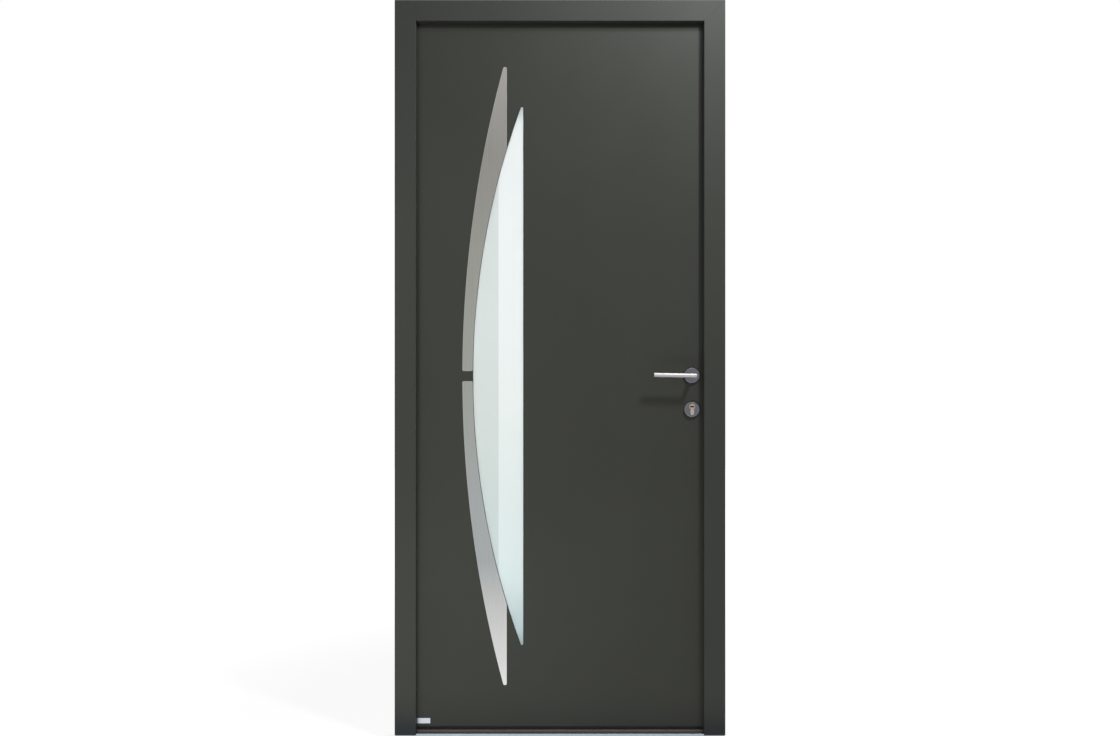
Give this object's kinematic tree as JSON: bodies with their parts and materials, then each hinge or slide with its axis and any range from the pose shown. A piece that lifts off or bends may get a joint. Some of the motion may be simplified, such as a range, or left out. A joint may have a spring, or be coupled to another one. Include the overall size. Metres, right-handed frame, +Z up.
{
  "type": "aluminium entry door",
  "caption": "Aluminium entry door in its frame: an overlapping leaf with a D-shaped glazed slot beside curved metal blades, on barrel hinges, with a sprung lever handle.",
  "frame": {"origin": "middle of the sill's underside, half way through the frame's depth", "axes": "+Z up; +X to the right seen from outdoors, towards the lock; -Y outdoors"},
  "size_m": [0.97, 0.1855, 2.177],
  "materials": {
    "frame_coating": "matte",
    "leaf_coating": "matte",
    "thermal_break_plastic": "matte",
    "sill_aluminium": "satin",
    "seal_rubber": "matte",
    "lock_steel": "satin",
    "hinge_coating": "satin",
    "glazing": "gloss",
    "spacer_plastic": "matte",
    "blade_steel": "satin",
    "plate_aluminium": "satin",
    "cylinder_nickel": "satin",
    "rosette_steel": "satin",
    "lever_steel": "satin"
  },
  "bodies": {
    "frame": {"head_outer_profile": "frame_coating", "head_thermal_break": "thermal_break_plastic", "head_inner_profile": "frame_coating", "left_jamb_outer_profile": "frame_coating", "left_jamb_thermal_break": "thermal_break_plastic", "left_jamb_inner_profile": "frame_coating", "right_jamb_outer_profile": "frame_coating", "right_jamb_thermal_break": "thermal_break_plastic", "right_jamb_inner_profile": "frame_coating", "sill_outer_profile": "sill_aluminium", "sill_base": "thermal_break_plastic", "sill_cover": "sill_aluminium", "frame_seal": "seal_rubber", "strike_plates": "lock_steel", "hinge_lower_frame_part": "hinge_coating", "hinge_middle_frame_part": "hinge_coating", "hinge_upper_frame_part": "hinge_coating", "hinge_pins": "hinge_coating"},
    "leaf": {"leaf_outer_skin": "leaf_coating", "leaf_inner_skin": "leaf_coating", "leaf_stile_hinge_side": "leaf_coating", "leaf_stile_lock_side": "leaf_coating", "leaf_top_rail": "leaf_coating", "leaf_bottom_rail": "leaf_coating", "leaf_thermal_break": "thermal_break_plastic", "leaf_seal": "seal_rubber", "bottom_seal": "seal_rubber", "glass_outer_pane": "glazing", "glass_middle_pane": "glazing", "glass_inner_pane": "glazing", "glass_spacers": "spacer_plastic", "blade_upper": "blade_steel", "blade_lower": "blade_steel", "blank_plate": "plate_aluminium", "lock_faceplate": "lock_steel", "lock_bolts": "lock_steel", "lock_cylinder": "cylinder_nickel", "rosette_outside": "rosette_steel", "rosette_inside": "rosette_steel", "escutcheon_outside": "rosette_steel", "escutcheon_inside": "rosette_steel", "hinge_lower_leaf_part": "hinge_coating", "hinge_middle_leaf_part": "hinge_coating", "hinge_upper_leaf_part": "hinge_coating"},
    "lever": {"lever_outside": "lever_steel", "lever_inside": "lever_steel", "lever_spindle": "lock_steel"}
  },
  "joints": [
    {"name": "leaf_swing", "type": "hinge", "parent": "frame", "child": "leaf", "pos_m": [-0.465, 0.06, 1.075], "axis": [0, 0, 1], "range_deg": [0, 110]},
    {"name": "lever_turn", "type": "hinge", "parent": "leaf", "child": "lever", "pos_m": [0.39, 0.023, 1.075], "axis": [0, -1, 0], "range_deg": [0, 40], "stiffness_Nm_per_rad": 2, "springref_deg": -17.19}
  ]
}
